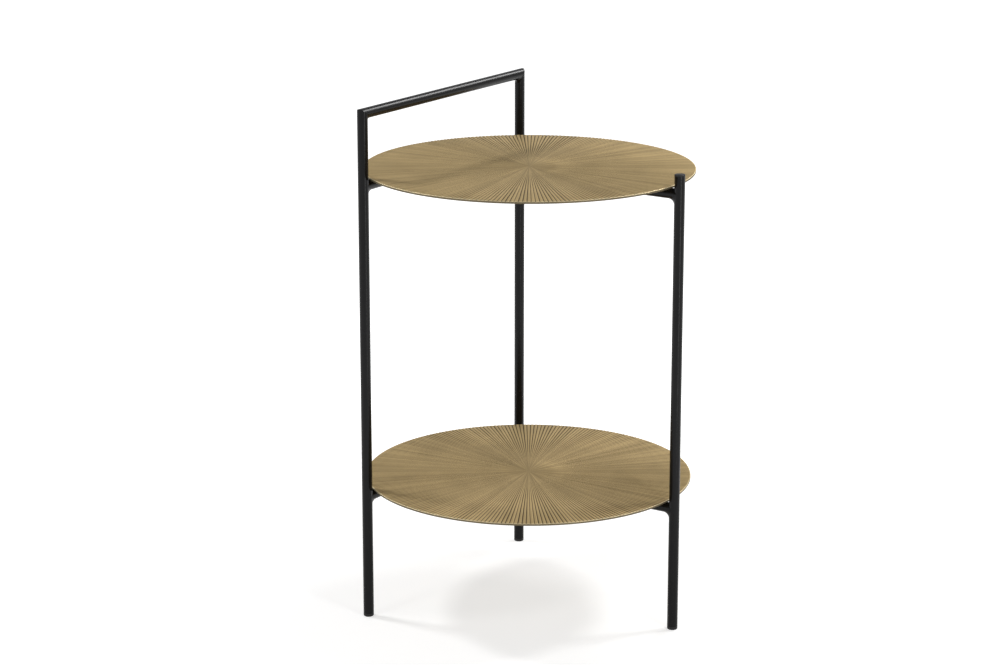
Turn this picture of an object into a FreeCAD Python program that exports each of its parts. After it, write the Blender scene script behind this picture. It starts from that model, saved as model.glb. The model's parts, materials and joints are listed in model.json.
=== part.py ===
import FreeCAD, Part
import math
import os

import Sketcher

# Tiered side table: two loose ribbed trays in a welded frame of round steel tube.
# +Z is up and the floor is z = 0. The origin is the middle of the table's outline on the floor.
# The short leg stands at -Y and the two tall legs, joined by the handle, at +Y.
# Both trays share one upright axis, and each rests on a tee: a crossbar between the tall legs
# and a spine bar that runs from the middle of the crossbar to the short leg.

# Driving sizes in millimetres, angles in degrees, counts and shares
SIZES = (
    ("bar_diameter", 12.7),
    ("bar_wall", 1.2),
    ("tray_diameter", 400),
    ("tray_thickness", 3),
    ("rib_count", 256),
    ("rib_depth", 0.8),
    ("rim_gap", 2),
    ("lower_tray_top", 163),
    ("tier_spacing", 384),
    ("handle_rise", 83),
    ("short_leg_rise", 14),
    ("tall_leg_angle", 53.5),
    ("pad_diameter", 8),
    ("pad_height", 0.5),
    ("pad_inset", 30),
    ("arm_weld_radius", 8),
    ("corner_weld_radius", 5),
    ("weld_width_share", 0.65),
    ("glide_head", 4),
    ("glide_stem", 14),
    ("glide_edge", 1.6),
    ("cap_head", 2),
    ("cap_stem", 10),
    ("cap_edge", 0.8),
    ("fit_gap", 0.1),
    ("overrun", 2),
)

# Places and sizes that follow from the driving ones
BAR_RADIUS = "(dims.bar_diameter / 2)"
BORE_RADIUS = f"({BAR_RADIUS} - dims.bar_wall)"
COPE_RADIUS = f"({BAR_RADIUS} + dims.fit_gap)"
STEM_RADIUS = f"({BORE_RADIUS} - dims.fit_gap)"
WELD_WIDTH = "(dims.bar_diameter * dims.weld_width_share)"
LEG_CIRCLE = f"(dims.tray_diameter / 2 + dims.rim_gap + {BAR_RADIUS})"
TRAY_AXIS_Y = "((dims.rim_gap + dims.bar_diameter) / 2)"
TALL_LEG_X = f"({LEG_CIRCLE} * sin(dims.tall_leg_angle))"
TALL_LEG_Y = f"({TRAY_AXIS_Y} + {LEG_CIRCLE} * cos(dims.tall_leg_angle))"
SHORT_LEG_Y = f"({TRAY_AXIS_Y} - {LEG_CIRCLE})"
SPINE_LENGTH = f"({TALL_LEG_Y} - {SHORT_LEG_Y})"
TRAY_TOPS = {
    "upper": "(dims.lower_tray_top + dims.tier_spacing)",
    "lower": "dims.lower_tray_top",
}
HANDLE_TOP = f"({TRAY_TOPS['upper']} + dims.handle_rise)"
HANDLE_Z = f"({HANDLE_TOP} - {BAR_RADIUS})"
SHORT_LEG_TOP = f"({TRAY_TOPS['upper']} + dims.short_leg_rise)"
BAR_DROP = f"(dims.tray_thickness + dims.pad_height + {BAR_RADIUS})"
BAR_HEIGHTS = {level: f"({top} - {BAR_DROP})" for level, top in TRAY_TOPS.items()}

# An edge counts as flat where its height is less than this share of its width
FLAT_EDGE_SHARE = 1e-6

# The three leg axes on the floor plan
LEG_PLANS = {
    "left": (f"-{TALL_LEG_X}", TALL_LEG_Y),
    "right": (TALL_LEG_X, TALL_LEG_Y),
    "front": ("0", SHORT_LEG_Y),
}

# Turns that point a piece's own +X from each leg into the table
Z_AXIS = FreeCAD.Vector(0, 0, 1)
Y_AXIS = FreeCAD.Vector(0, 1, 0)
X_AXIS = FreeCAD.Vector(1, 0, 0)
INWARD_TURNS = {
    "left": FreeCAD.Rotation(),
    "right": FreeCAD.Rotation(Z_AXIS, 180),
    "front": FreeCAD.Rotation(Z_AXIS, 90),
}

doc = FreeCAD.newDocument("tiered_side_table")
sheet = doc.addObject("Spreadsheet::Sheet", "dims")
for row, (alias, size) in enumerate(SIZES, start=1):
    sheet.set(f"A{row}", alias)
    sheet.set(f"B{row}", str(size))
    sheet.setAlias(f"B{row}", alias)
doc.recompute()

subparts = []


def number(expression):
    """Present value of an expression over the sheet's cells."""
    return float(sheet.evalExpression(expression))


def place(piece, base, turn=FreeCAD.Rotation()):
    """Stand a sub-part at a point given by three expressions, turned as told."""
    piece.Placement = FreeCAD.Placement(FreeCAD.Vector(), turn)
    for axis, expression in zip("xyz", base):
        piece.setExpression(f"Placement.Base.{axis}", expression)
    subparts.append(piece)


def new_body(label):
    """Empty body whose label names the sub-part."""
    body = doc.addObject("PartDesign::Body", label)
    body.Label = label
    return body


def new_sketch(body, role):
    """Empty sketch on one of the body's own origin planes."""
    sketch = body.newObject("Sketcher::SketchObject", f"{body.Label}_sketch")
    plane = next(part for part in body.Origin.OriginFeatures if part.Role == role)
    sketch.AttachmentSupport = [(plane, "")]
    sketch.MapMode = "FlatFace"
    return sketch


def pin_point(sketch, element, point, at):
    """Hold a point of the sketch at a pair of expressions."""
    for kind, expression in zip(("DistanceX", "DistanceY"), at):
        rule = Sketcher.Constraint(kind, -1, 1, element, point, number(expression))
        index = sketch.addConstraint(rule)
        if expression != "0":
            sketch.setExpression(f"Constraints[{index}]", expression)


def draw_circle(sketch, radius, at=("0", "0")):
    """Circle of a given radius, both its place and its size being expressions."""
    centre = FreeCAD.Vector(number(at[0]), number(at[1]), 0)
    element = sketch.addGeometry(Part.Circle(centre, Z_AXIS, number(radius)), False)
    pin_point(sketch, element, 3, at)
    index = sketch.addConstraint(Sketcher.Constraint("Radius", element, number(radius)))
    sketch.setExpression(f"Constraints[{index}]", radius)


def draw_outline(sketch, corners):
    """Closed outline of straight lines through corners given as pairs of expressions."""
    points = [FreeCAD.Vector(number(x), number(y), 0) for x, y in corners]
    sides = [
        sketch.addGeometry(Part.LineSegment(start, end), False)
        for start, end in zip(points, points[1:] + points[:1])
    ]
    for side, following in zip(sides, sides[1:] + sides[:1]):
        sketch.addConstraint(Sketcher.Constraint("Coincident", side, 2, following, 1))
    for side, corner in zip(sides, corners):
        pin_point(sketch, side, 1, corner)


def pad(body, sketch, length, symmetric=False):
    """Raise the sketch to a length given by an expression."""
    feature = body.newObject("PartDesign::Pad", f"{body.Label}_pad")
    feature.Profile = sketch
    feature.SideType = "Symmetric" if symmetric else "One side"
    feature.setExpression("Length", length)
    return feature


def cut_through(body, sketch):
    """Cut the sketch right through the body, both ways from its plane."""
    feature = body.newObject("PartDesign::Pocket", f"{body.Label}_cut")
    feature.Profile = sketch
    feature.Type = "ThroughAll"
    feature.SideType = "Symmetric"


def round_cut(body, role, radius, at=("0", "0")):
    """Cut a cylinder through the body, square to one of its planes."""
    sketch = new_sketch(body, role)
    draw_circle(sketch, radius, at)
    cut_through(body, sketch)


def tube(label, role, length, symmetric):
    """Length of the frame's tube, square to one of the body's planes."""
    body = new_body(label)
    sketch = new_sketch(body, role)
    draw_circle(sketch, BAR_RADIUS)
    draw_circle(sketch, BORE_RADIUS)
    pad(body, sketch, length, symmetric)
    return body


def tall_leg(side, sign):
    """Tall leg from its glide to the mitre that meets the handle."""
    length = f"({HANDLE_TOP} - dims.glide_head)"
    body = tube(f"{side}_tall_leg", "XY_Plane", length, symmetric=False)
    reach = f"({BAR_RADIUS} + dims.overrun)"
    inner = f"{-sign} * {reach}"
    outer = f"{sign} * {reach}"
    top = f"{length} + dims.overrun"
    mitre = new_sketch(body, "XZ_Plane")
    draw_outline(mitre, (
        (inner, f"{length} - dims.bar_diameter - dims.overrun"),
        (inner, top),
        (outer, top),
    ))
    cut_through(body, mitre)
    place(body, (*LEG_PLANS[side], "dims.glide_head"))


def short_leg():
    """Short leg between its glide and its cap."""
    length = f"({SHORT_LEG_TOP} - dims.cap_head - dims.glide_head)"
    body = tube("short_leg", "XY_Plane", length, symmetric=False)
    place(body, (*LEG_PLANS["front"], "dims.glide_head"))


def handle_bar():
    """Handle across the tall legs, mitred at both ends."""
    reach = f"({TALL_LEG_X} + {BAR_RADIUS})"
    body = tube("handle_bar", "YZ_Plane", f"2 * {reach}", symmetric=True)
    low = f"-({BAR_RADIUS} + dims.overrun)"
    high = f"({BAR_RADIUS} + dims.overrun)"
    for sign in (-1, 1):
        mitre = new_sketch(body, "XZ_Plane")
        draw_outline(mitre, (
            (f"{sign} * ({reach} - dims.bar_diameter - dims.overrun)", low),
            (f"{sign} * ({reach} + dims.overrun)", low),
            (f"{sign} * ({reach} + dims.overrun)", high),
        ))
        cut_through(body, mitre)
    place(body, ("0", TALL_LEG_Y, HANDLE_Z))


def crossbar(level):
    """Crossbar between the tall legs, with both ends coped to their round."""
    body = tube(f"{level}_crossbar", "YZ_Plane", f"2 * {TALL_LEG_X}", symmetric=True)
    for sign in (-1, 1):
        round_cut(body, "XY_Plane", COPE_RADIUS, (f"{sign} * {TALL_LEG_X}", "0"))
    place(body, ("0", TALL_LEG_Y, BAR_HEIGHTS[level]))


def spine_bar(level):
    """Bar from the middle of the crossbar to the short leg, coped to both."""
    body = tube(f"{level}_spine_bar", "XZ_Plane", SPINE_LENGTH, symmetric=True)
    round_cut(body, "XY_Plane", COPE_RADIUS, ("0", f"-{SPINE_LENGTH} / 2"))
    round_cut(body, "YZ_Plane", COPE_RADIUS, (f"{SPINE_LENGTH} / 2", "0"))
    place(body, ("0", f"({TALL_LEG_Y} + {SHORT_LEG_Y}) / 2", BAR_HEIGHTS[level]))


def weld(label, radius, base, turn):
    """Concave weld in the corner between an upright tube and a tube along its own +X."""
    body = new_body(label)
    reach = f"({BAR_RADIUS} + {radius})"
    block = new_sketch(body, "XZ_Plane")
    draw_outline(block, (("0", "0"), (reach, "0"), (reach, f"-{reach}"), ("0", f"-{reach}")))
    pad(body, block, WELD_WIDTH, symmetric=True)
    round_cut(body, "XY_Plane", BAR_RADIUS)
    round_cut(body, "YZ_Plane", BAR_RADIUS)
    round_cut(body, "XZ_Plane", radius, (reach, f"-{reach}"))
    place(body, base, turn)


def plug(label, head, stem, edge, base, turn):
    """Moulded end for a leg: a flush head with a rounded rim, and a stem up the bore."""
    body = new_body(label)
    head_sketch = new_sketch(body, "XY_Plane")
    draw_circle(head_sketch, BAR_RADIUS)
    pad(body, head_sketch, head)
    stem_sketch = new_sketch(body, "XY_Plane")
    draw_circle(stem_sketch, STEM_RADIUS)
    solid = pad(body, stem_sketch, f"{head} + {stem}")
    doc.recompute()
    lowest = solid.Shape.BoundBox.ZMin
    rims = [
        f"Edge{index}"
        for index, edge_curve in enumerate(solid.Shape.Edges, start=1)
        if edge_curve.BoundBox.ZMax - lowest < edge_curve.BoundBox.XLength * FLAT_EDGE_SHARE
    ]
    rounding = body.newObject("PartDesign::Fillet", f"{label}_edge")
    rounding.Base = (solid, rims)
    rounding.setExpression("Radius", edge)
    place(body, base, turn)


def rest_pad(label, base, turn):
    """Soft dot on a bar, hollowed under to the bar's round, that a tray rests on."""
    body = new_body(label)
    dot = new_sketch(body, "XY_Plane")
    draw_circle(dot, "dims.pad_diameter / 2")
    pad(body, dot, f"{BAR_RADIUS} + dims.pad_height")
    round_cut(body, "YZ_Plane", BAR_RADIUS)
    place(body, base, turn)


def tray(level):
    """Flat disc whose top is pleated into ribs that deepen from the centre to the rim."""
    count = round(number("dims.rib_count"))
    radius = number("dims.tray_diameter / 2")
    thickness = number("dims.tray_thickness")
    valley = thickness - number("dims.rib_depth")
    centre = FreeCAD.Vector(0, 0, thickness)
    rim_low = []
    rim_high = []
    for step in range(2 * count):
        angle = math.pi * step / count
        spot = FreeCAD.Vector(radius * math.cos(angle), radius * math.sin(angle), 0)
        rim_low.append(spot)
        rim_high.append(spot + Z_AXIS * (valley if step % 2 else thickness))
    faces = [Part.Face(Part.makePolygon(rim_low + rim_low[:1]))]
    for step in range(2 * count):
        following = (step + 1) % (2 * count)
        low, high = rim_low[step], rim_high[step]
        next_low, next_high = rim_low[following], rim_high[following]
        faces.append(Part.Face(Part.makePolygon([low, next_low, next_high, high, low])))
        faces.append(Part.Face(Part.makePolygon([high, next_high, centre, high])))
    shell = Part.makeShell(faces)
    shell.sewShape()
    solid = Part.makeSolid(shell)
    if solid.Volume < 0:
        solid.reverse()
    piece = doc.addObject("Part::Feature", f"{level}_tray")
    piece.Label = f"{level}_tray"
    piece.Shape = solid
    place(piece, ("0", TRAY_AXIS_Y, f"{TRAY_TOPS[level]} - dims.tray_thickness"))


# Frame
tall_leg("left", -1)
tall_leg("right", 1)
short_leg()
handle_bar()
for level in TRAY_TOPS:
    crossbar(level)
    spine_bar(level)

# Welds: under each bar at its leg, inside the handle's corners, and beside each tee
for level, height in BAR_HEIGHTS.items():
    for side, plan in LEG_PLANS.items():
        weld(f"{level}_{side}_weld", "dims.arm_weld_radius", (*plan, height), INWARD_TURNS[side])
    tee = ("0", TALL_LEG_Y, height)
    to_front = FreeCAD.Rotation(Z_AXIS, -90)
    for side, angle in (("left", 90), ("right", -90)):
        roll = FreeCAD.Rotation(Y_AXIS, angle)
        weld(f"{level}_tee_{side}_weld", "dims.corner_weld_radius", tee, roll * to_front)
for side in ("left", "right"):
    corner = (*LEG_PLANS[side], HANDLE_Z)
    weld(f"{side}_handle_weld", "dims.corner_weld_radius", corner, INWARD_TURNS[side])

# Leg ends
upright = FreeCAD.Rotation()
upside_down = FreeCAD.Rotation(X_AXIS, 180)
for side, plan in LEG_PLANS.items():
    plug(f"{side}_glide", "dims.glide_head", "dims.glide_stem", "dims.glide_edge", (*plan, "0"), upright)
plug("short_leg_cap", "dims.cap_head", "dims.cap_stem", "dims.cap_edge",
     (*LEG_PLANS["front"], SHORT_LEG_TOP), upside_down)

# Trays and what they rest on
along_spine = FreeCAD.Rotation(Z_AXIS, 90)
for level, height in BAR_HEIGHTS.items():
    pad_x = f"({TALL_LEG_X} - dims.pad_inset)"
    rest_pad(f"{level}_left_pad", (f"-{pad_x}", TALL_LEG_Y, height), upright)
    rest_pad(f"{level}_right_pad", (pad_x, TALL_LEG_Y, height), upright)
    rest_pad(f"{level}_front_pad", ("0", f"{SHORT_LEG_Y} + dims.pad_inset", height), along_spine)
    tray(level)

doc.recompute()
for item in doc.Objects:
    if "Invalid" in item.State or "Error" in item.State:
        raise RuntimeError(f"{item.Label} did not build: {item.State}")
for piece in subparts:
    if piece.Shape.isNull() or not piece.Shape.isValid() or len(piece.Shape.Solids) != 1:
        raise RuntimeError(f"{piece.Label} is not one sound solid")

os.makedirs("parts", exist_ok=True)
for piece in subparts:
    piece.Shape.exportStep(f"parts/{piece.Label}.step")
    print(f"{piece.Label}: {piece.Shape.Volume:.1f} mm3")
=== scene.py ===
"""Dresses the tiered side table: ribbed antique brass trays in a black powder-coated tube frame."""

from collections import namedtuple
import json
import math

import bmesh
import bpy
from bpy.props import FloatProperty, FloatVectorProperty, IntProperty, PointerProperty
from mathutils import Matrix, Vector

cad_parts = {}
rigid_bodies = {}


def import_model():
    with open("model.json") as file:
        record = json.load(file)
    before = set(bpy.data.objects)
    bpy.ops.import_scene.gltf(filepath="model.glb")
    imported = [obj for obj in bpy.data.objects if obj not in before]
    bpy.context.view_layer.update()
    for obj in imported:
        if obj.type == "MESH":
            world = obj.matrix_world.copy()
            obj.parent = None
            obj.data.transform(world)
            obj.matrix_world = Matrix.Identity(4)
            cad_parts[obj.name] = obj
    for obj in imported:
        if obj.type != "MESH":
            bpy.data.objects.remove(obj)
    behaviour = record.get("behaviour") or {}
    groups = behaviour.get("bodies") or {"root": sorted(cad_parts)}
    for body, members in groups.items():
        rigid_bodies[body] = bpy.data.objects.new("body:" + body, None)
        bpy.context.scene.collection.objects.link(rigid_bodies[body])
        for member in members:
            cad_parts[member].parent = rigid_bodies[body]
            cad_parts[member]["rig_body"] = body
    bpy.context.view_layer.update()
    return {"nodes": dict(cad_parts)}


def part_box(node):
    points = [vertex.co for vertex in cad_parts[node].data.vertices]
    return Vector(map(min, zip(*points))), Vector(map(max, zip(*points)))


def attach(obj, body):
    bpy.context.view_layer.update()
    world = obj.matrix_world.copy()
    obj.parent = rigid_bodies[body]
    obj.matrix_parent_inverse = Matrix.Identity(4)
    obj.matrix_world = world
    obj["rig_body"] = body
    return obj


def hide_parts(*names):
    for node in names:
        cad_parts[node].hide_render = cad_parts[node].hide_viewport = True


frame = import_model()

bl_info = {
    "name": "Tiered Side Table",
    "version": (1, 0, 0),
    "blender": (4, 5, 0),
    "location": "View3D > Sidebar > Side Table",
    "description": "Models and finishes the pieces of a tiered side table on its packed frame",
    "category": "Object",
}

MM = 0.001
X_AXIS = Vector((1, 0, 0))
Y_AXIS = Vector((0, 1, 0))
Z_AXIS = Vector((0, 0, 1))


def linear(hex_colour):
    """Linear RGBA of an sRGB hex colour."""
    channels = [int(hex_colour[i:i + 2], 16) / 255 for i in (1, 3, 5)]
    return (*[c / 12.92 if c <= 0.04045 else ((c + 0.055) / 1.055) ** 2.4 for c in channels], 1.0)


def middle(node):
    """Centre of a CAD node's box."""
    low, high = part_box(node)
    return (low + high) / 2


def node_radius(node):
    """Half the width of a round upright CAD node."""
    low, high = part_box(node)
    return (high.x - low.x) / 2


WHITE = linear("#FFFFFF")
LEVELS = ("upper", "lower")
LEG_NODES = {"left": "left_tall_leg", "right": "right_tall_leg", "front": "short_leg"}
LEG_AXES = {side: middle(node) for side, node in LEG_NODES.items()}
# The way that the bars under the trays leave each leg
INWARD = {"left": X_AXIS, "right": -X_AXIS, "front": Y_AXIS}
BAR_RADIUS = node_radius("short_leg")
TRAY_AXIS = middle("upper_tray")


def on_leg(side, height):
    """Point at a height on the axis of a leg."""
    return Vector((LEG_AXES[side].x, LEG_AXES[side].y, height))


class TraySettings(bpy.types.PropertyGroup):
    """Ribs, edges and colours of the two brass trays."""
    rib_count: IntProperty(
        name="Ribs", description="Ribs round one tray", default=256, min=8)
    rib_depth: FloatProperty(
        name="Rib depth", description="Depth of the grooves at the rim", default=0.8 * MM,
        unit="LENGTH")
    top_edge: FloatProperty(
        name="Top edge", description="Radius of the rim's rubbed upper edge", default=1.1 * MM,
        unit="LENGTH")
    under_edge: FloatProperty(
        name="Under edge", description="Radius of the rim's lower edge", default=0.4 * MM,
        unit="LENGTH")
    ridge_colour: FloatVectorProperty(
        name="Ridges", description="Rubbed brass on top of the ribs", default=linear("#BBA478"),
        subtype="COLOR", size=4)
    groove_colour: FloatVectorProperty(
        name="Grooves", description="Dark patina left in the grooves", default=linear("#3A2E18"),
        subtype="COLOR", size=4)
    # Darker, greyer tone painted on the rim's face as the shade it stands in; the underside takes a
    # share
    rim_shade_colour: FloatVectorProperty(
        name="Rim", description="Duller metal on the face of the rim", default=linear("#6E6450"),
        subtype="COLOR", size=4)
    # Bright cream on the rounded upper edge: partly wear, partly a painted highlight
    edge_wear_and_highlight_colour: FloatVectorProperty(
        name="Edge", description="Bright metal where the upper edge is worn",
        default=linear("#E6D7B0"), subtype="COLOR", size=4)


class FrameSettings(bpy.types.PropertyGroup):
    """Tube, welds and coating of the frame."""
    wall: FloatProperty(
        name="Wall", description="Wall of the round tube", default=1.2 * MM, unit="LENGTH")
    sides: IntProperty(
        name="Sides", description="Faces round one tube", default=48, min=8)
    arm_weld: FloatProperty(
        name="Arm weld", description="Radius of the weld under each bar", default=8 * MM,
        unit="LENGTH")
    corner_weld: FloatProperty(
        name="Corner weld", description="Radius of the welds at the handle and the tees",
        default=5 * MM, unit="LENGTH")
    coat_colour: FloatVectorProperty(
        name="Coat", description="Black powder coat", default=linear("#0A0A0B"),
        subtype="COLOR", size=4)


class EndSettings(bpy.types.PropertyGroup):
    """Moulded leg ends and soft tray pads."""
    glide_edge: FloatProperty(
        name="Glide edge", description="Rounding under a glide", default=1.6 * MM, unit="LENGTH")
    cap_edge: FloatProperty(
        name="Cap edge", description="Rounding on the short leg's cap", default=0.8 * MM,
        unit="LENGTH")
    pad_edge: FloatProperty(
        name="Pad edge", description="Rounding on a tray pad", default=0.3 * MM, unit="LENGTH")
    plastic_colour: FloatVectorProperty(
        name="Plastic", description="Moulded black plastic", default=linear("#0E0E0E"),
        subtype="COLOR", size=4)
    pad_colour: FloatVectorProperty(
        name="Pads", description="Soft clear rubber", default=linear("#B7B3A8"),
        subtype="COLOR", size=4)


class StudioSettings(bpy.types.PropertyGroup):
    """Camera, floor and the surround's light."""
    camera_place: FloatVectorProperty(
        name="Camera", description="Where the camera stands", default=(-2.7352, -1.77455, 1.2135),
        subtype="XYZ", unit="LENGTH")
    camera_aim: FloatVectorProperty(
        name="Aim", description="Direction the camera looks", default=(0.80369, 0.53599, -0.25843),
        subtype="DIRECTION")
    lens: FloatProperty(
        name="Lens", description="Focal length on a 36 mm sensor, in millimetres", default=99.75,
        unit="CAMERA")
    ceiling: FloatProperty(
        name="Ceiling", description="Strength of the surround's light overhead", default=0.14,
        subtype="FACTOR")
    floor_white: FloatProperty(
        name="Floor white",
        description="White that the camera sees added to the lit floor near the table",
        default=0.57, subtype="FACTOR")
    floor_colour: FloatVectorProperty(
        name="Floor", description="Pale studio floor", default=linear("#CCCCCC"),
        subtype="COLOR", size=4)


def add_node(tree, kind, settings=None, inputs=None):
    """Add a node. An input that is given a socket is linked to it, any other value is set."""
    node = tree.nodes.new(kind)
    for name, value in (settings or {}).items():
        setattr(node, name, value)
    for key, value in (inputs or {}).items():
        if isinstance(value, bpy.types.NodeSocket):
            tree.links.new(value, node.inputs[key])
        else:
            node.inputs[key].default_value = value
    return node


def noise(tree, place, size, detail, roughness):
    """Noise with blotches of about the given size."""
    return add_node(tree, "ShaderNodeTexNoise", inputs={
        "Vector": place, "Scale": 1 / size, "Detail": detail, "Roughness": roughness}).outputs["Fac"]


def spread(tree, value, low, high, reach=0.2):
    """Stretch a noise, which seldom strays further than reach from 0.5, to run from low to high."""
    return add_node(tree, "ShaderNodeMapRange", inputs={
        "Value": value, "From Min": 0.5 - reach, "From Max": 0.5 + reach,
        "To Min": low, "To Max": high}).outputs["Result"]


def ramp(tree, value, start, end, low=0.0, high=1.0):
    """Smooth step from low to high while a value goes from start to end."""
    return add_node(tree, "ShaderNodeMapRange", {"interpolation_type": "SMOOTHSTEP"}, {
        "Value": value, "From Min": start, "From Max": end,
        "To Min": low, "To Max": high}).outputs["Result"]


def combine(tree, operation, first, second):
    """Join two values by a Math node's operation."""
    return add_node(tree, "ShaderNodeMath", {"operation": operation}, {
        0: first, 1: second}).outputs["Value"]


def blend(tree, factor, first, second, kind="MIX"):
    """Blend a second colour over a first one."""
    return add_node(tree, "ShaderNodeMix", {"data_type": "RGBA", "blend_type": kind}, {
        "Factor": factor, "A": first, "B": second}).outputs["Result"]


def relief(tree, height, strength, depth):
    """Normal of a surface with a fine relief."""
    return add_node(tree, "ShaderNodeBump", inputs={
        "Strength": strength, "Distance": depth, "Height": height}).outputs["Normal"]


def new_material(name):
    """Empty node material, its tree and the coordinates of the object it is on."""
    material = bpy.data.materials.new(name)
    material.use_nodes = True
    tree = material.node_tree
    tree.nodes.clear()
    place = add_node(tree, "ShaderNodeTexCoord").outputs["Object"]
    return material, tree, place


def close_material(tree, shader):
    """Send a shader to the material's surface."""
    add_node(tree, "ShaderNodeOutputMaterial", inputs={"Surface": shader})


# Marks on a tray's vertices that its finish reads: depth in a groove, rim with painted shade, and
# edge wear with a painted highlight
TRAY_MARKS = ("groove", "rim", "worn")


def antique_brass(settings):
    """Cast plate with an antique brass finish, rubbed bright on the ribs, dark in the grooves."""
    material, tree, place = new_material("rubbed_antique_brass")
    groove, rim, worn = (
        add_node(tree, "ShaderNodeAttribute", {"attribute_name": mark}).outputs["Fac"]
        for mark in TRAY_MARKS)
    # Hand rubbing that differs from rib to rib: noise round a circle of radius 1, from two ribs
    # wide to one
    centred = add_node(tree, "ShaderNodeMapping", inputs={
        "Vector": place, "Location": (-TRAY_AXIS.x, -TRAY_AXIS.y, 0), "Scale": (1, 1, 0)})
    spoke = add_node(tree, "ShaderNodeVectorMath", {"operation": "NORMALIZE"}, {
        0: centred.outputs["Vector"]})
    rib_width = 2 * math.pi / settings.rib_count
    rubbed = noise(tree, spoke.outputs["Vector"], size=2 * rib_width, detail=1.0, roughness=0.7)
    # Clouds in the patina, and the grain of the casting
    clouds = noise(tree, place, size=60 * MM, detail=3.0, roughness=0.55)
    grain = noise(tree, place, size=0.8 * MM, detail=2.0, roughness=0.6)
    # The patina starts part way down each side of a rib, higher where the rib was rubbed less
    shore = spread(tree, rubbed, low=-0.07, high=0.09)
    dark = ramp(tree, combine(tree, "SUBTRACT", groove, shore), start=0.2, end=0.65)
    ribs = blend(tree, dark, settings.ridge_colour, settings.groove_colour)
    # Painted shade: the rim's face gets a darker, greyer tone, and the underside a share of it
    plate = blend(tree, rim, ribs, settings.rim_shade_colour)
    # The rounded upper edge is painted bright cream: partly wear, partly a painted highlight
    base = blend(tree, worn, plate, settings.edge_wear_and_highlight_colour)
    cloud_shade = spread(tree, clouds, low=0.9, high=1.06)
    rub_shade = spread(tree, rubbed, low=0.95, high=1.05)
    shade = combine(tree, "MULTIPLY", cloud_shade, rub_shade)
    shader = add_node(tree, "ShaderNodeBsdfPrincipled", inputs={
        "Base Color": blend(tree, 1.0, base, shade, "MULTIPLY"),
        "Metallic": 0.5,
        "Roughness": spread(tree, grain, low=0.45, high=0.55, reach=0.25),
        "Specular IOR Level": 0.15,
        "Specular Tint": linear("#CFC6B4"),
        "Normal": relief(tree, grain, strength=0.12, depth=0.05 * MM)})
    close_material(tree, shader.outputs["BSDF"])
    return material


def black_powder_coat(settings):
    """Satin black powder coat on steel, baked on, with a faint orange peel."""
    material, tree, place = new_material("satin_powder_coat")
    peel = noise(tree, place, size=1.4 * MM, detail=2.0, roughness=0.5)
    uneven = noise(tree, place, size=30 * MM, detail=2.0, roughness=0.5)
    shader = add_node(tree, "ShaderNodeBsdfPrincipled", inputs={
        "Base Color": settings.coat_colour,
        "Roughness": spread(tree, uneven, low=0.22, high=0.28),
        "Specular IOR Level": 0.17,
        "Normal": relief(tree, peel, strength=0.1, depth=0.06 * MM)})
    close_material(tree, shader.outputs["BSDF"])
    return material


def moulded_plastic(settings):
    """Injection-moulded black polyethylene with a fine spark-eroded grain."""
    material, tree, place = new_material("moulded_plastic")
    grain = noise(tree, place, size=0.4 * MM, detail=2.0, roughness=0.6)
    shader = add_node(tree, "ShaderNodeBsdfPrincipled", inputs={
        "Base Color": settings.plastic_colour,
        "Roughness": spread(tree, grain, low=0.45, high=0.58),
        "Specular IOR Level": 0.35,
        "Normal": relief(tree, grain, strength=0.15, depth=0.04 * MM)})
    close_material(tree, shader.outputs["BSDF"])
    return material


def soft_rubber(settings):
    """Clear soft polyurethane dot, a little cloudy and slightly dusty."""
    material, tree, place = new_material("soft_rubber")
    dust = noise(tree, place, size=1.5 * MM, detail=3.0, roughness=0.6)
    shader = add_node(tree, "ShaderNodeBsdfPrincipled", inputs={
        "Base Color": settings.pad_colour,
        "Roughness": spread(tree, dust, low=0.25, high=0.5),
        "IOR": 1.5,
        "Transmission Weight": 0.4})
    close_material(tree, shader.outputs["BSDF"])
    return material


def add_object(name, data):
    """New object with the given data, linked to the scene."""
    item = bpy.data.objects.new(name, data)
    bpy.context.scene.collection.objects.link(item)
    return item


def add_mesh(bm, name, material):
    """New object made from a bmesh, with one material."""
    mesh = bpy.data.meshes.new(name)
    bm.to_mesh(mesh)
    bm.free()
    mesh.materials.append(material)
    return add_object(name, mesh)


# Vertices closer than this are one
MERGE_DISTANCE = 0.001 * MM
# Edges that turn by more degrees than this are shaded sharp
SHARP_ANGLE = 40
RIB_SHARP_ANGLE = 60


def finish_piece(bm, name, material, node, sharp_angle=SHARP_ANGLE):
    """Turn a bmesh into a smooth-shaded piece that stands for a CAD node and rides with its body."""
    bmesh.ops.remove_doubles(bm, verts=bm.verts, dist=MERGE_DISTANCE)
    bmesh.ops.recalc_face_normals(bm, faces=bm.faces)
    for face in bm.faces:
        face.smooth = True
    for edge in bm.edges:
        edge.smooth = edge.calc_face_angle(0.0) < math.radians(sharp_angle)
    piece = add_mesh(bm, name, material)
    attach(piece, frame["nodes"][node]["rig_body"])
    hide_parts(node)


# Where the columns of one rib stand, as shares of its width, and how far each drops to the groove
RIB_COLUMN_SHARES = (0.0, 0.12, 0.3, 0.5, 0.7, 0.88, 1.0)
RIB_DROP_SHARES = tuple((1 - 2 * share) ** 2 for share in RIB_COLUMN_SHARES)
# Rings of the ribbed top from the centre to the rounded edge, as shares of that distance
RING_SHARES = (0.0, 0.15, 0.3, 0.5, 0.75, 1.0)
# The dark lines keep about the same width, so their share of a rib falls from the centre to the rim
INNER_PATINA = 0.95
RIM_PATINA = 0.7
# Inside this share of the radius the ribs are too fine to tell apart, and the patina is even
EVEN_SHARE = 0.2
EVEN_DROP = 0.4
# Depth of the grooves half way round the rounded upper edge, as a share of their depth on the top
EDGE_CUT = 0.4
# How much of the rim's darker, greyer tone the underside has
UNDERSIDE_RIM_SHARE = 0.5
# A point of a tray's half section. All but radius and height are shares: depth of the grooves,
# patina, evenness of the patina, rim tone of painted shade, and edge wear with a painted highlight
TrayPoint = namedtuple("TrayPoint", "radius height cut patina even rim worn", defaults=(0.0,) * 5)


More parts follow.
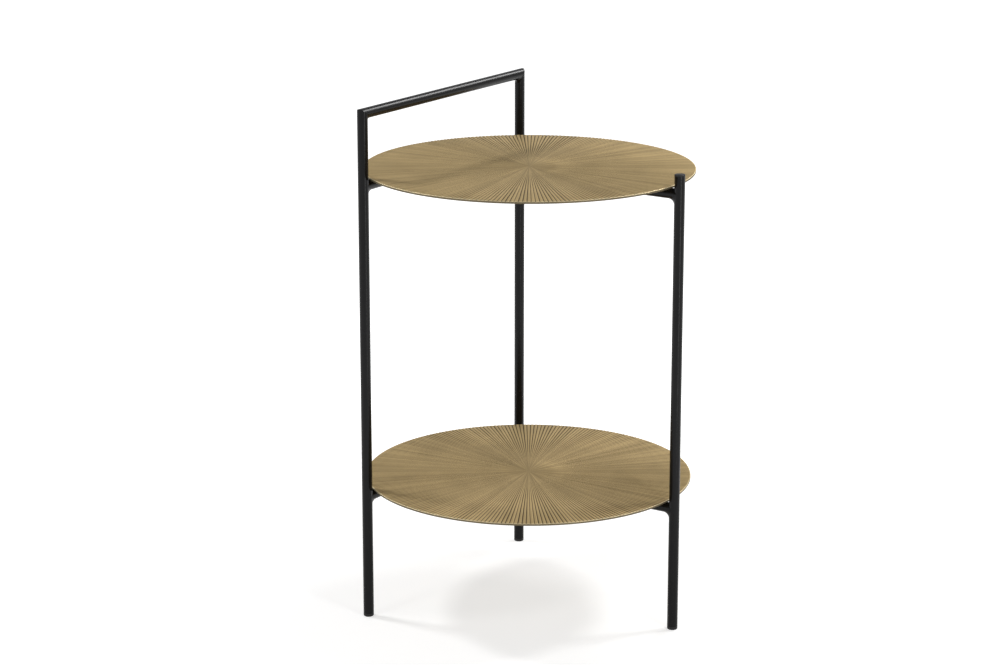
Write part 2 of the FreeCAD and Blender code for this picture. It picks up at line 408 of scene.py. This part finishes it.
def tray_outline(level, settings):
    """Half section of a tray from the middle of its top, over the rim, to that of its underside."""
    low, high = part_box(f"{level}_tray")
    radius = node_radius(f"{level}_tray")
    ribbed = radius - settings.top_edge
    slope = settings.top_edge * (1 - math.sqrt(0.5))
    rings = [
        TrayPoint(ribbed * share, high.z, cut=share,
                  patina=INNER_PATINA + (RIM_PATINA - INNER_PATINA) * share,
                  even=float(share < EVEN_SHARE))
        for share in RING_SHARES
    ]
    return rings + [
        # Half way round the upper edge: edge wear and a painted highlight
        TrayPoint(radius - slope, high.z - slope, cut=EDGE_CUT, worn=1.0),
        # The rim's face, painted darker as shade
        TrayPoint(radius, high.z - settings.top_edge, rim=1.0),
        TrayPoint(radius, low.z + settings.under_edge, rim=1.0),
        TrayPoint(radius - settings.under_edge, low.z, rim=UNDERSIDE_RIM_SHARE),
        TrayPoint(0.0, low.z, rim=UNDERSIDE_RIM_SHARE),
    ]


def ribbed_tray(level, settings, material):
    """Tray made as one rib's sector, repeated round the tray's axis."""
    outline = tray_outline(level, settings)
    rib_angle = 2 * math.pi / settings.rib_count
    bm = bmesh.new()
    groove, rim, worn = (bm.verts.layers.float.new(mark) for mark in TRAY_MARKS)
    columns, rows = len(RIB_COLUMN_SHARES) - 1, len(outline) - 1
    bmesh.ops.create_grid(bm, x_segments=columns, y_segments=rows, size=1.0)
    for vert in bm.verts:
        column = round((vert.co.x + 1) / 2 * columns)
        point = outline[round((vert.co.y + 1) / 2 * rows)]
        angle = rib_angle * RIB_COLUMN_SHARES[column]
        drop = RIB_DROP_SHARES[column]
        vert[groove] = point.patina * (drop + (EVEN_DROP - drop) * point.even)
        vert[rim], vert[worn] = point.rim, point.worn
        vert.co = (point.radius * math.cos(angle), point.radius * math.sin(angle),
                   point.height - settings.rib_depth * point.cut * drop)
    sector = bm.verts[:] + bm.edges[:] + bm.faces[:]
    copies = settings.rib_count - 1
    bmesh.ops.spin(bm, geom=sector, axis=Z_AXIS, cent=(0, 0, 0), angle=rib_angle * copies,
                   steps=copies, use_duplicate=True)
    bmesh.ops.translate(bm, verts=bm.verts, vec=(TRAY_AXIS.x, TRAY_AXIS.y, 0))
    finish_piece(bm, f"{level}_tray_plate", material, f"{level}_tray",
                 sharp_angle=RIB_SHARP_ANGLE)


def square_end(x, y):
    """End cut square across the tube."""
    return 0.0


def coped_end(x, y):
    """End hollowed to sit round a tube of the same size that crosses along the bar's own y."""
    return math.sqrt(max(BAR_RADIUS ** 2 - x ** 2, 0.0))


def tee_end(x, y):
    """End hollowed to sit round a tube of the same size that crosses along the bar's own x."""
    return coped_end(y, x)


def mitred_end(x, y):
    """End cut at 45 degrees, longest on the side away from the bar's own +x."""
    return BAR_RADIUS + x


def extrude_flat(bm):
    """Extrude the faces of a flat bmesh in place and give the vertices of their copy."""
    raised = bmesh.ops.extrude_face_region(bm, geom=bm.faces[:], use_keep_orig=True)
    return {item for item in raised["geom"] if isinstance(item, bmesh.types.BMVert)}


def tube(name, node, start, finish, across, ends, settings, material):
    """Hollow tube from one point to another.

    across is the direction of the tube's own +x. ends are two functions, for the start and for the
    finish, that say how far a point of that end is cut back."""
    along = finish - start
    start_cut, finish_cut = ends
    bm = bmesh.new()
    bmesh.ops.create_circle(bm, cap_ends=True, radius=BAR_RADIUS, segments=settings.sides)
    ring = bmesh.ops.inset_individual(bm, faces=bm.faces[:], thickness=settings.wall)["faces"]
    bore = [face for face in bm.faces if face not in ring]
    bmesh.ops.delete(bm, geom=bore, context="FACES_ONLY")
    top = extrude_flat(bm)
    for vert in bm.verts:
        if vert in top:
            vert.co.z = along.length - finish_cut(vert.co.x, vert.co.y)
        else:
            vert.co.z = start_cut(vert.co.x, vert.co.y)
    local_z = along.normalized()
    local_x = across.normalized()
    local_y = local_z.cross(local_x)
    turn = Matrix((local_x, local_y, local_z)).transposed().to_4x4()
    bmesh.ops.transform(bm, matrix=Matrix.Translation(start) @ turn, verts=bm.verts)
    finish_piece(bm, name, material, node)


def quarter_turn(steps):
    """Angles from 0 to 90 degrees in even steps."""
    return [math.pi / 2 * step / steps for step in range(steps + 1)]


# Steps along a weld's hollow curve, and from one side of the bar to the other
WELD_CURVE_STEPS = 10
WELD_SIDE_STEPS = 16


def weld(node, corner, along_bar, along_leg, radius, material):
    """Concave weld in the corner between two tubes that meet at right angles.

    Its section swells under the middle of the bar and runs out to nothing on both sides."""
    reach = BAR_RADIUS + radius
    inner_corner = (BAR_RADIUS, BAR_RADIUS)
    curve = [(reach - radius * math.sin(angle), reach - radius * math.cos(angle))
             for angle in quarter_turn(WELD_CURVE_STEPS)]
    section = [inner_corner, *curve, inner_corner]
    rows = len(section) - 1
    bm = bmesh.new()
    bmesh.ops.create_grid(bm, x_segments=WELD_SIDE_STEPS, y_segments=rows, size=1.0)
    third = along_bar.cross(along_leg)
    for vert in bm.verts:
        angle = vert.co.x * math.pi / 2
        out, down = section[round((vert.co.y + 1) / 2 * rows)]
        local = along_bar * out + along_leg * down
        vert.co = corner + local * math.cos(angle) + third * BAR_RADIUS * math.sin(angle)
    finish_piece(bm, f"{node}_bead", material, node)


# Room between the stem of a leg end and the tube's bore, and the steps round the edge of its head
STEM_CLEARANCE = 0.1 * MM
HEAD_EDGE_STEPS = 5


def plug_section(edge, head, length, stem):
    """Half section of a leg end: rounded head as wide as the tube, then a stem."""
    rounding = [(BAR_RADIUS - edge + edge * math.sin(angle), edge - edge * math.cos(angle))
                for angle in quarter_turn(HEAD_EDGE_STEPS)]
    return [(0.0, 0.0), *rounding, (BAR_RADIUS, head), (stem, head), (stem, length), (0.0, length)]


def leg_end(name, node, points, centre, upward, sides, material):
    """Leg end turned from a half section given as radius and height, upright or upside down."""
    bm = bmesh.new()
    corners = [bm.verts.new((radius, 0, height)) for radius, height in points]
    edges = [bm.edges.new(pair) for pair in zip(corners, corners[1:])]
    bmesh.ops.spin(bm, geom=corners + edges, axis=Z_AXIS, cent=(0, 0, 0), angle=2 * math.pi,
                   steps=sides, use_merge=True)
    if not upward:
        half_turn = Matrix.Rotation(math.pi, 3, "X")
        bmesh.ops.rotate(bm, verts=bm.verts, cent=(0, 0, 0), matrix=half_turn)
    bmesh.ops.translate(bm, verts=bm.verts, vec=centre)
    finish_piece(bm, name, material, node)


# Faces round a tray pad, and the steps round its upper edge
PAD_SIDES = 32
PAD_EDGE_STEPS = 3


def rest_pad(node, along, settings, material):
    """Soft dot on a bar, flat on top with a rounded edge and hollowed under to the bar's round."""
    low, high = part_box(node)
    centre = middle(node)
    radius = node_radius(node)
    bar_height = low.z - math.sqrt(BAR_RADIUS ** 2 - radius ** 2)
    bm = bmesh.new()
    bmesh.ops.create_circle(bm, cap_ends=True, radius=radius, segments=PAD_SIDES)
    top = extrude_flat(bm)
    across = Z_AXIS.cross(along)
    for vert in bm.verts:
        offset = vert.co.dot(across)
        under = bar_height + math.sqrt(BAR_RADIUS ** 2 - offset ** 2)
        vert.co.z = high.z if vert in top else under
    rim = [edge for edge in bm.edges if all(vert in top for vert in edge.verts)]
    bmesh.ops.bevel(bm, geom=rim, offset=settings.pad_edge, affect="EDGES",
                    segments=PAD_EDGE_STEPS, profile=0.5, material=-1)
    bmesh.ops.translate(bm, verts=bm.verts, vec=(centre.x, centre.y, 0))
    finish_piece(bm, f"{node}_dot", material, node)


class SIDETABLE_OT_trays(bpy.types.Operator):
    """Model the two ribbed trays and give them their antique brass"""
    bl_idname = "side_table.trays"
    bl_label = "Trays"

    def execute(self, context):
        settings = context.scene.table_trays
        material = antique_brass(settings)
        for level in LEVELS:
            ribbed_tray(level, settings, material)
        return {"FINISHED"}


class SIDETABLE_OT_tubes(bpy.types.Operator):
    """Model the legs, the handle and the bars under the trays as coated tube"""
    bl_idname = "side_table.tubes"
    bl_label = "Tubes"

    def execute(self, context):
        settings = context.scene.table_frame
        material = black_powder_coat(settings)
        for side, across, top_end in (
                ("left", X_AXIS, mitred_end),
                ("right", -X_AXIS, mitred_end),
                ("front", X_AXIS, square_end)):
            node = LEG_NODES[side]
            low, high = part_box(node)
            tube(f"{node}_tube", node, on_leg(side, low.z), on_leg(side, high.z), across,
                 (square_end, top_end), settings, material)
        low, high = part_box("handle_bar")
        height = (low.z + high.z) / 2
        tube("handle_tube", "handle_bar", Vector((low.x, LEG_AXES["left"].y, height)),
             Vector((high.x, LEG_AXES["right"].y, height)), -Z_AXIS, (mitred_end, mitred_end),
             settings, material)
        for level in LEVELS:
            height = middle(f"{level}_crossbar").z
            left, right, front = (on_leg(side, height) for side in LEG_NODES)
            tube(f"{level}_crossbar_tube", f"{level}_crossbar", left, right, Y_AXIS,
                 (coped_end, coped_end), settings, material)
            tee = (left + right) / 2
            tube(f"{level}_spine_tube", f"{level}_spine_bar", front, tee, X_AXIS,
                 (coped_end, tee_end), settings, material)
        return {"FINISHED"}


class SIDETABLE_OT_welds(bpy.types.Operator):
    """Model the concave welds between the tubes"""
    bl_idname = "side_table.welds"
    bl_label = "Welds"

    def execute(self, context):
        settings = context.scene.table_frame
        material = bpy.data.materials["satin_powder_coat"]
        for level in LEVELS:
            height = middle(f"{level}_crossbar").z
            for side, inward in INWARD.items():
                weld(f"{level}_{side}_weld", on_leg(side, height), inward, -Z_AXIS,
                     settings.arm_weld, material)
            tee = Vector((TRAY_AXIS.x, LEG_AXES["left"].y, height))
            for side, outward in (("left", -X_AXIS), ("right", X_AXIS)):
                weld(f"{level}_tee_{side}_weld", tee, -Y_AXIS, outward,
                     settings.corner_weld, material)
        handle_height = middle("handle_bar").z
        for side in ("left", "right"):
            weld(f"{side}_handle_weld", on_leg(side, handle_height), INWARD[side], -Z_AXIS,
                 settings.corner_weld, material)
        return {"FINISHED"}


class SIDETABLE_OT_ends(bpy.types.Operator):
    """Model the moulded leg ends and the soft pads under the trays"""
    bl_idname = "side_table.ends"
    bl_label = "Leg ends and pads"

    def execute(self, context):
        settings = context.scene.table_ends
        tubes = context.scene.table_frame
        plastic = moulded_plastic(settings)
        rubber = soft_rubber(settings)
        stem = BAR_RADIUS - tubes.wall - STEM_CLEARANCE
        for side, leg in LEG_NODES.items():
            node = f"{side}_glide"
            low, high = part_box(node)
            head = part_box(leg)[0].z - low.z
            leg_end(f"{node}_foot", node,
                    plug_section(settings.glide_edge, head, high.z - low.z, stem),
                    on_leg(side, low.z), True, tubes.sides, plastic)
        low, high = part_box("short_leg_cap")
        head = high.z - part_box("short_leg")[1].z
        leg_end("short_leg_cap_top", "short_leg_cap",
                plug_section(settings.cap_edge, head, high.z - low.z, stem),
                on_leg("front", high.z), False, tubes.sides, plastic)
        for level in LEVELS:
            for side, along in INWARD.items():
                rest_pad(f"{level}_{side}_pad", along, settings, rubber)
        return {"FINISHED"}


# The floor's added white grows between these distances from the middle of the table
FLOOR_NEAR = 0.3
FLOOR_FAR = 1.0
FLOOR_HALF_WIDTH = 20.0
# The surround's light changes from its strength low down to that overhead between these heights,
# as the sine of the elevation
LOW_DOWN = 0.4
OVERHEAD = 0.7
LOW_LIGHT = 0.62
SENSOR_WIDTH = 36.0
# Where a soft box stands, the point it faces, its width and height in metres, and its brightness
SoftBox = namedtuple("SoftBox", "place target size brightness")
SOFT_BOXES = {
    "back_box": SoftBox((-0.29, 1.31, 1.83), (0.0, 0.0, 0.35), (0.3, 0.3), 56.0),
    "right_box": SoftBox((0.9, -0.84, 1.6), (0.0, 0.0, 0.35), (0.3, 0.3), 43.0),
    "far_box": SoftBox((1.8, -0.3, 1.9), (0.0, 0.0, 0.6), (0.7, 0.5), 12.5),
    "left_box": SoftBox((-1.9, 0.44, 0.9), (0.0, 0.0, 0.35), (0.4, 0.4), 12.0),
    "front_box": SoftBox((-0.75, -1.9, 2.1), (0.0, 0.0, 0.35), (0.4, 0.4), 18.0),
    "strip_box": SoftBox((-0.45, -1.11, 0.32), (0.0, 0.0, 0.32), (0.12, 0.6), 8.0),
}


def studio_floor(settings):
    """Matt pale floor that takes the table's shadow, with white added to it, more further out."""
    material, tree, place = new_material("studio_floor")
    distance = add_node(tree, "ShaderNodeVectorMath", {"operation": "LENGTH"}, {0: place})
    away = ramp(tree, distance.outputs["Value"], FLOOR_NEAR, FLOOR_FAR, settings.floor_white, 1.0)
    # The white shows to the camera, straight, mirrored or through glass, and lights nothing
    rays = add_node(tree, "ShaderNodeLightPath").outputs
    seen = combine(tree, "MAXIMUM", rays["Is Camera Ray"], rays["Is Glossy Ray"])
    seen = combine(tree, "MAXIMUM", seen, rays["Is Transmission Ray"])
    matt = add_node(tree, "ShaderNodeBsdfDiffuse", inputs={"Color": settings.floor_colour})
    white = add_node(tree, "ShaderNodeEmission", inputs={
        "Color": WHITE, "Strength": combine(tree, "MULTIPLY", away, seen)})
    shader = add_node(tree, "ShaderNodeAddShader", inputs={
        0: matt.outputs["BSDF"], 1: white.outputs["Emission"]})
    close_material(tree, shader.outputs["Shader"])
    return material


def studio_surround(settings):
    """White all round to the camera. As light it is dimmer, and dimmest overhead."""
    world = bpy.data.worlds.new("studio_surround")
    world.use_nodes = True
    tree = world.node_tree
    tree.nodes.clear()
    direction = add_node(tree, "ShaderNodeTexCoord").outputs["Generated"]
    height = add_node(tree, "ShaderNodeSeparateXYZ", inputs={"Vector": direction}).outputs["Z"]
    strength = ramp(tree, height, LOW_DOWN, OVERHEAD, LOW_LIGHT, settings.ceiling)
    rays = add_node(tree, "ShaderNodeLightPath").outputs
    seen = combine(tree, "MAXIMUM", rays["Is Camera Ray"], rays["Is Transmission Ray"])
    light = add_node(tree, "ShaderNodeBackground", inputs={"Color": WHITE, "Strength": strength})
    white = add_node(tree, "ShaderNodeBackground", inputs={"Color": WHITE, "Strength": 1.0})
    mix = add_node(tree, "ShaderNodeMixShader", inputs={
        0: seen, 1: light.outputs["Background"], 2: white.outputs["Background"]})
    add_node(tree, "ShaderNodeOutputWorld", inputs={"Surface": mix.outputs["Shader"]})
    return world


def facing(place, direction):
    """Placement of a lamp or a camera that looks along a direction."""
    aim = direction.to_track_quat("-Z", "Y")
    return Matrix.Translation(place) @ aim.to_matrix().to_4x4()


class SIDETABLE_OT_stage(bpy.types.Operator):
    """Set up the floor, the soft lights, the white surround and the camera"""
    bl_idname = "side_table.stage"
    bl_label = "Stage"

    def execute(self, context):
        scene = context.scene
        settings = scene.table_studio
        bm = bmesh.new()
        bmesh.ops.create_grid(bm, x_segments=1, y_segments=1, size=FLOOR_HALF_WIDTH)
        floor = add_mesh(bm, "floor", studio_floor(settings))
        for name, soft_box in SOFT_BOXES.items():
            place, target = Vector(soft_box.place), Vector(soft_box.target)
            width, height = soft_box.size
            lamp = bpy.data.lights.new(name, "AREA")
            lamp.shape = "RECTANGLE"
            lamp.size, lamp.size_y = width, height
            # A lamp's power spread over its area and over pi is its brightness
            lamp.energy = soft_box.brightness * width * height * math.pi
            box = add_object(name, lamp)
            box.visible_camera = False
            box.matrix_world = facing(place, target - place)
        scene.world = studio_surround(settings)
        lens = bpy.data.cameras.new("camera")
        lens.sensor_width = SENSOR_WIDTH
        lens.lens = settings.lens
        camera = add_object("camera", lens)
        camera.matrix_world = facing(settings.camera_place, Vector(settings.camera_aim))
        scene.camera = camera
        scene.view_settings.view_transform = "Standard"
        return {"FINISHED"}


class SIDETABLE_PT_panel(bpy.types.Panel):
    """Sizes, colours and builders of the side table"""
    bl_idname = "SIDETABLE_PT_panel"
    bl_label = "Side Table"
    bl_space_type = "VIEW_3D"
    bl_region_type = "UI"
    bl_category = "Side Table"

    def draw(self, context):
        scene = context.scene
        for group, operators in PANEL_ROWS.items():
            box = self.layout.box()
            settings = getattr(scene, group)
            for name in settings.__annotations__:
                box.prop(settings, name)
            for operator in operators:
                box.operator(operator.bl_idname)


PANEL_ROWS = {
    "table_trays": (SIDETABLE_OT_trays,),
    "table_frame": (SIDETABLE_OT_tubes, SIDETABLE_OT_welds),
    "table_ends": (SIDETABLE_OT_ends,),
    "table_studio": (SIDETABLE_OT_stage,),
}
SETTINGS = {
    "table_trays": TraySettings,
    "table_frame": FrameSettings,
    "table_ends": EndSettings,
    "table_studio": StudioSettings,
}
CLASSES = (
    *SETTINGS.values(),
    SIDETABLE_OT_trays,
    SIDETABLE_OT_tubes,
    SIDETABLE_OT_welds,
    SIDETABLE_OT_ends,
    SIDETABLE_OT_stage,
    SIDETABLE_PT_panel,
)


def register():
    """Register the classes and hang the settings on the scene."""
    for cls in CLASSES:
        bpy.utils.register_class(cls)
    for name, cls in SETTINGS.items():
        setattr(bpy.types.Scene, name, PointerProperty(type=cls))


def unregister():
    """Take the settings off the scene and unregister the classes."""
    for name in SETTINGS:
        delattr(bpy.types.Scene, name)
    for cls in reversed(CLASSES):
        bpy.utils.unregister_class(cls)


def main():
    """Build every piece and the stage."""
    register()
    bpy.ops.side_table.trays()
    bpy.ops.side_table.tubes()
    bpy.ops.side_table.welds()
    bpy.ops.side_table.ends()
    bpy.ops.side_table.stage()


if __name__ == "__main__":
    main()
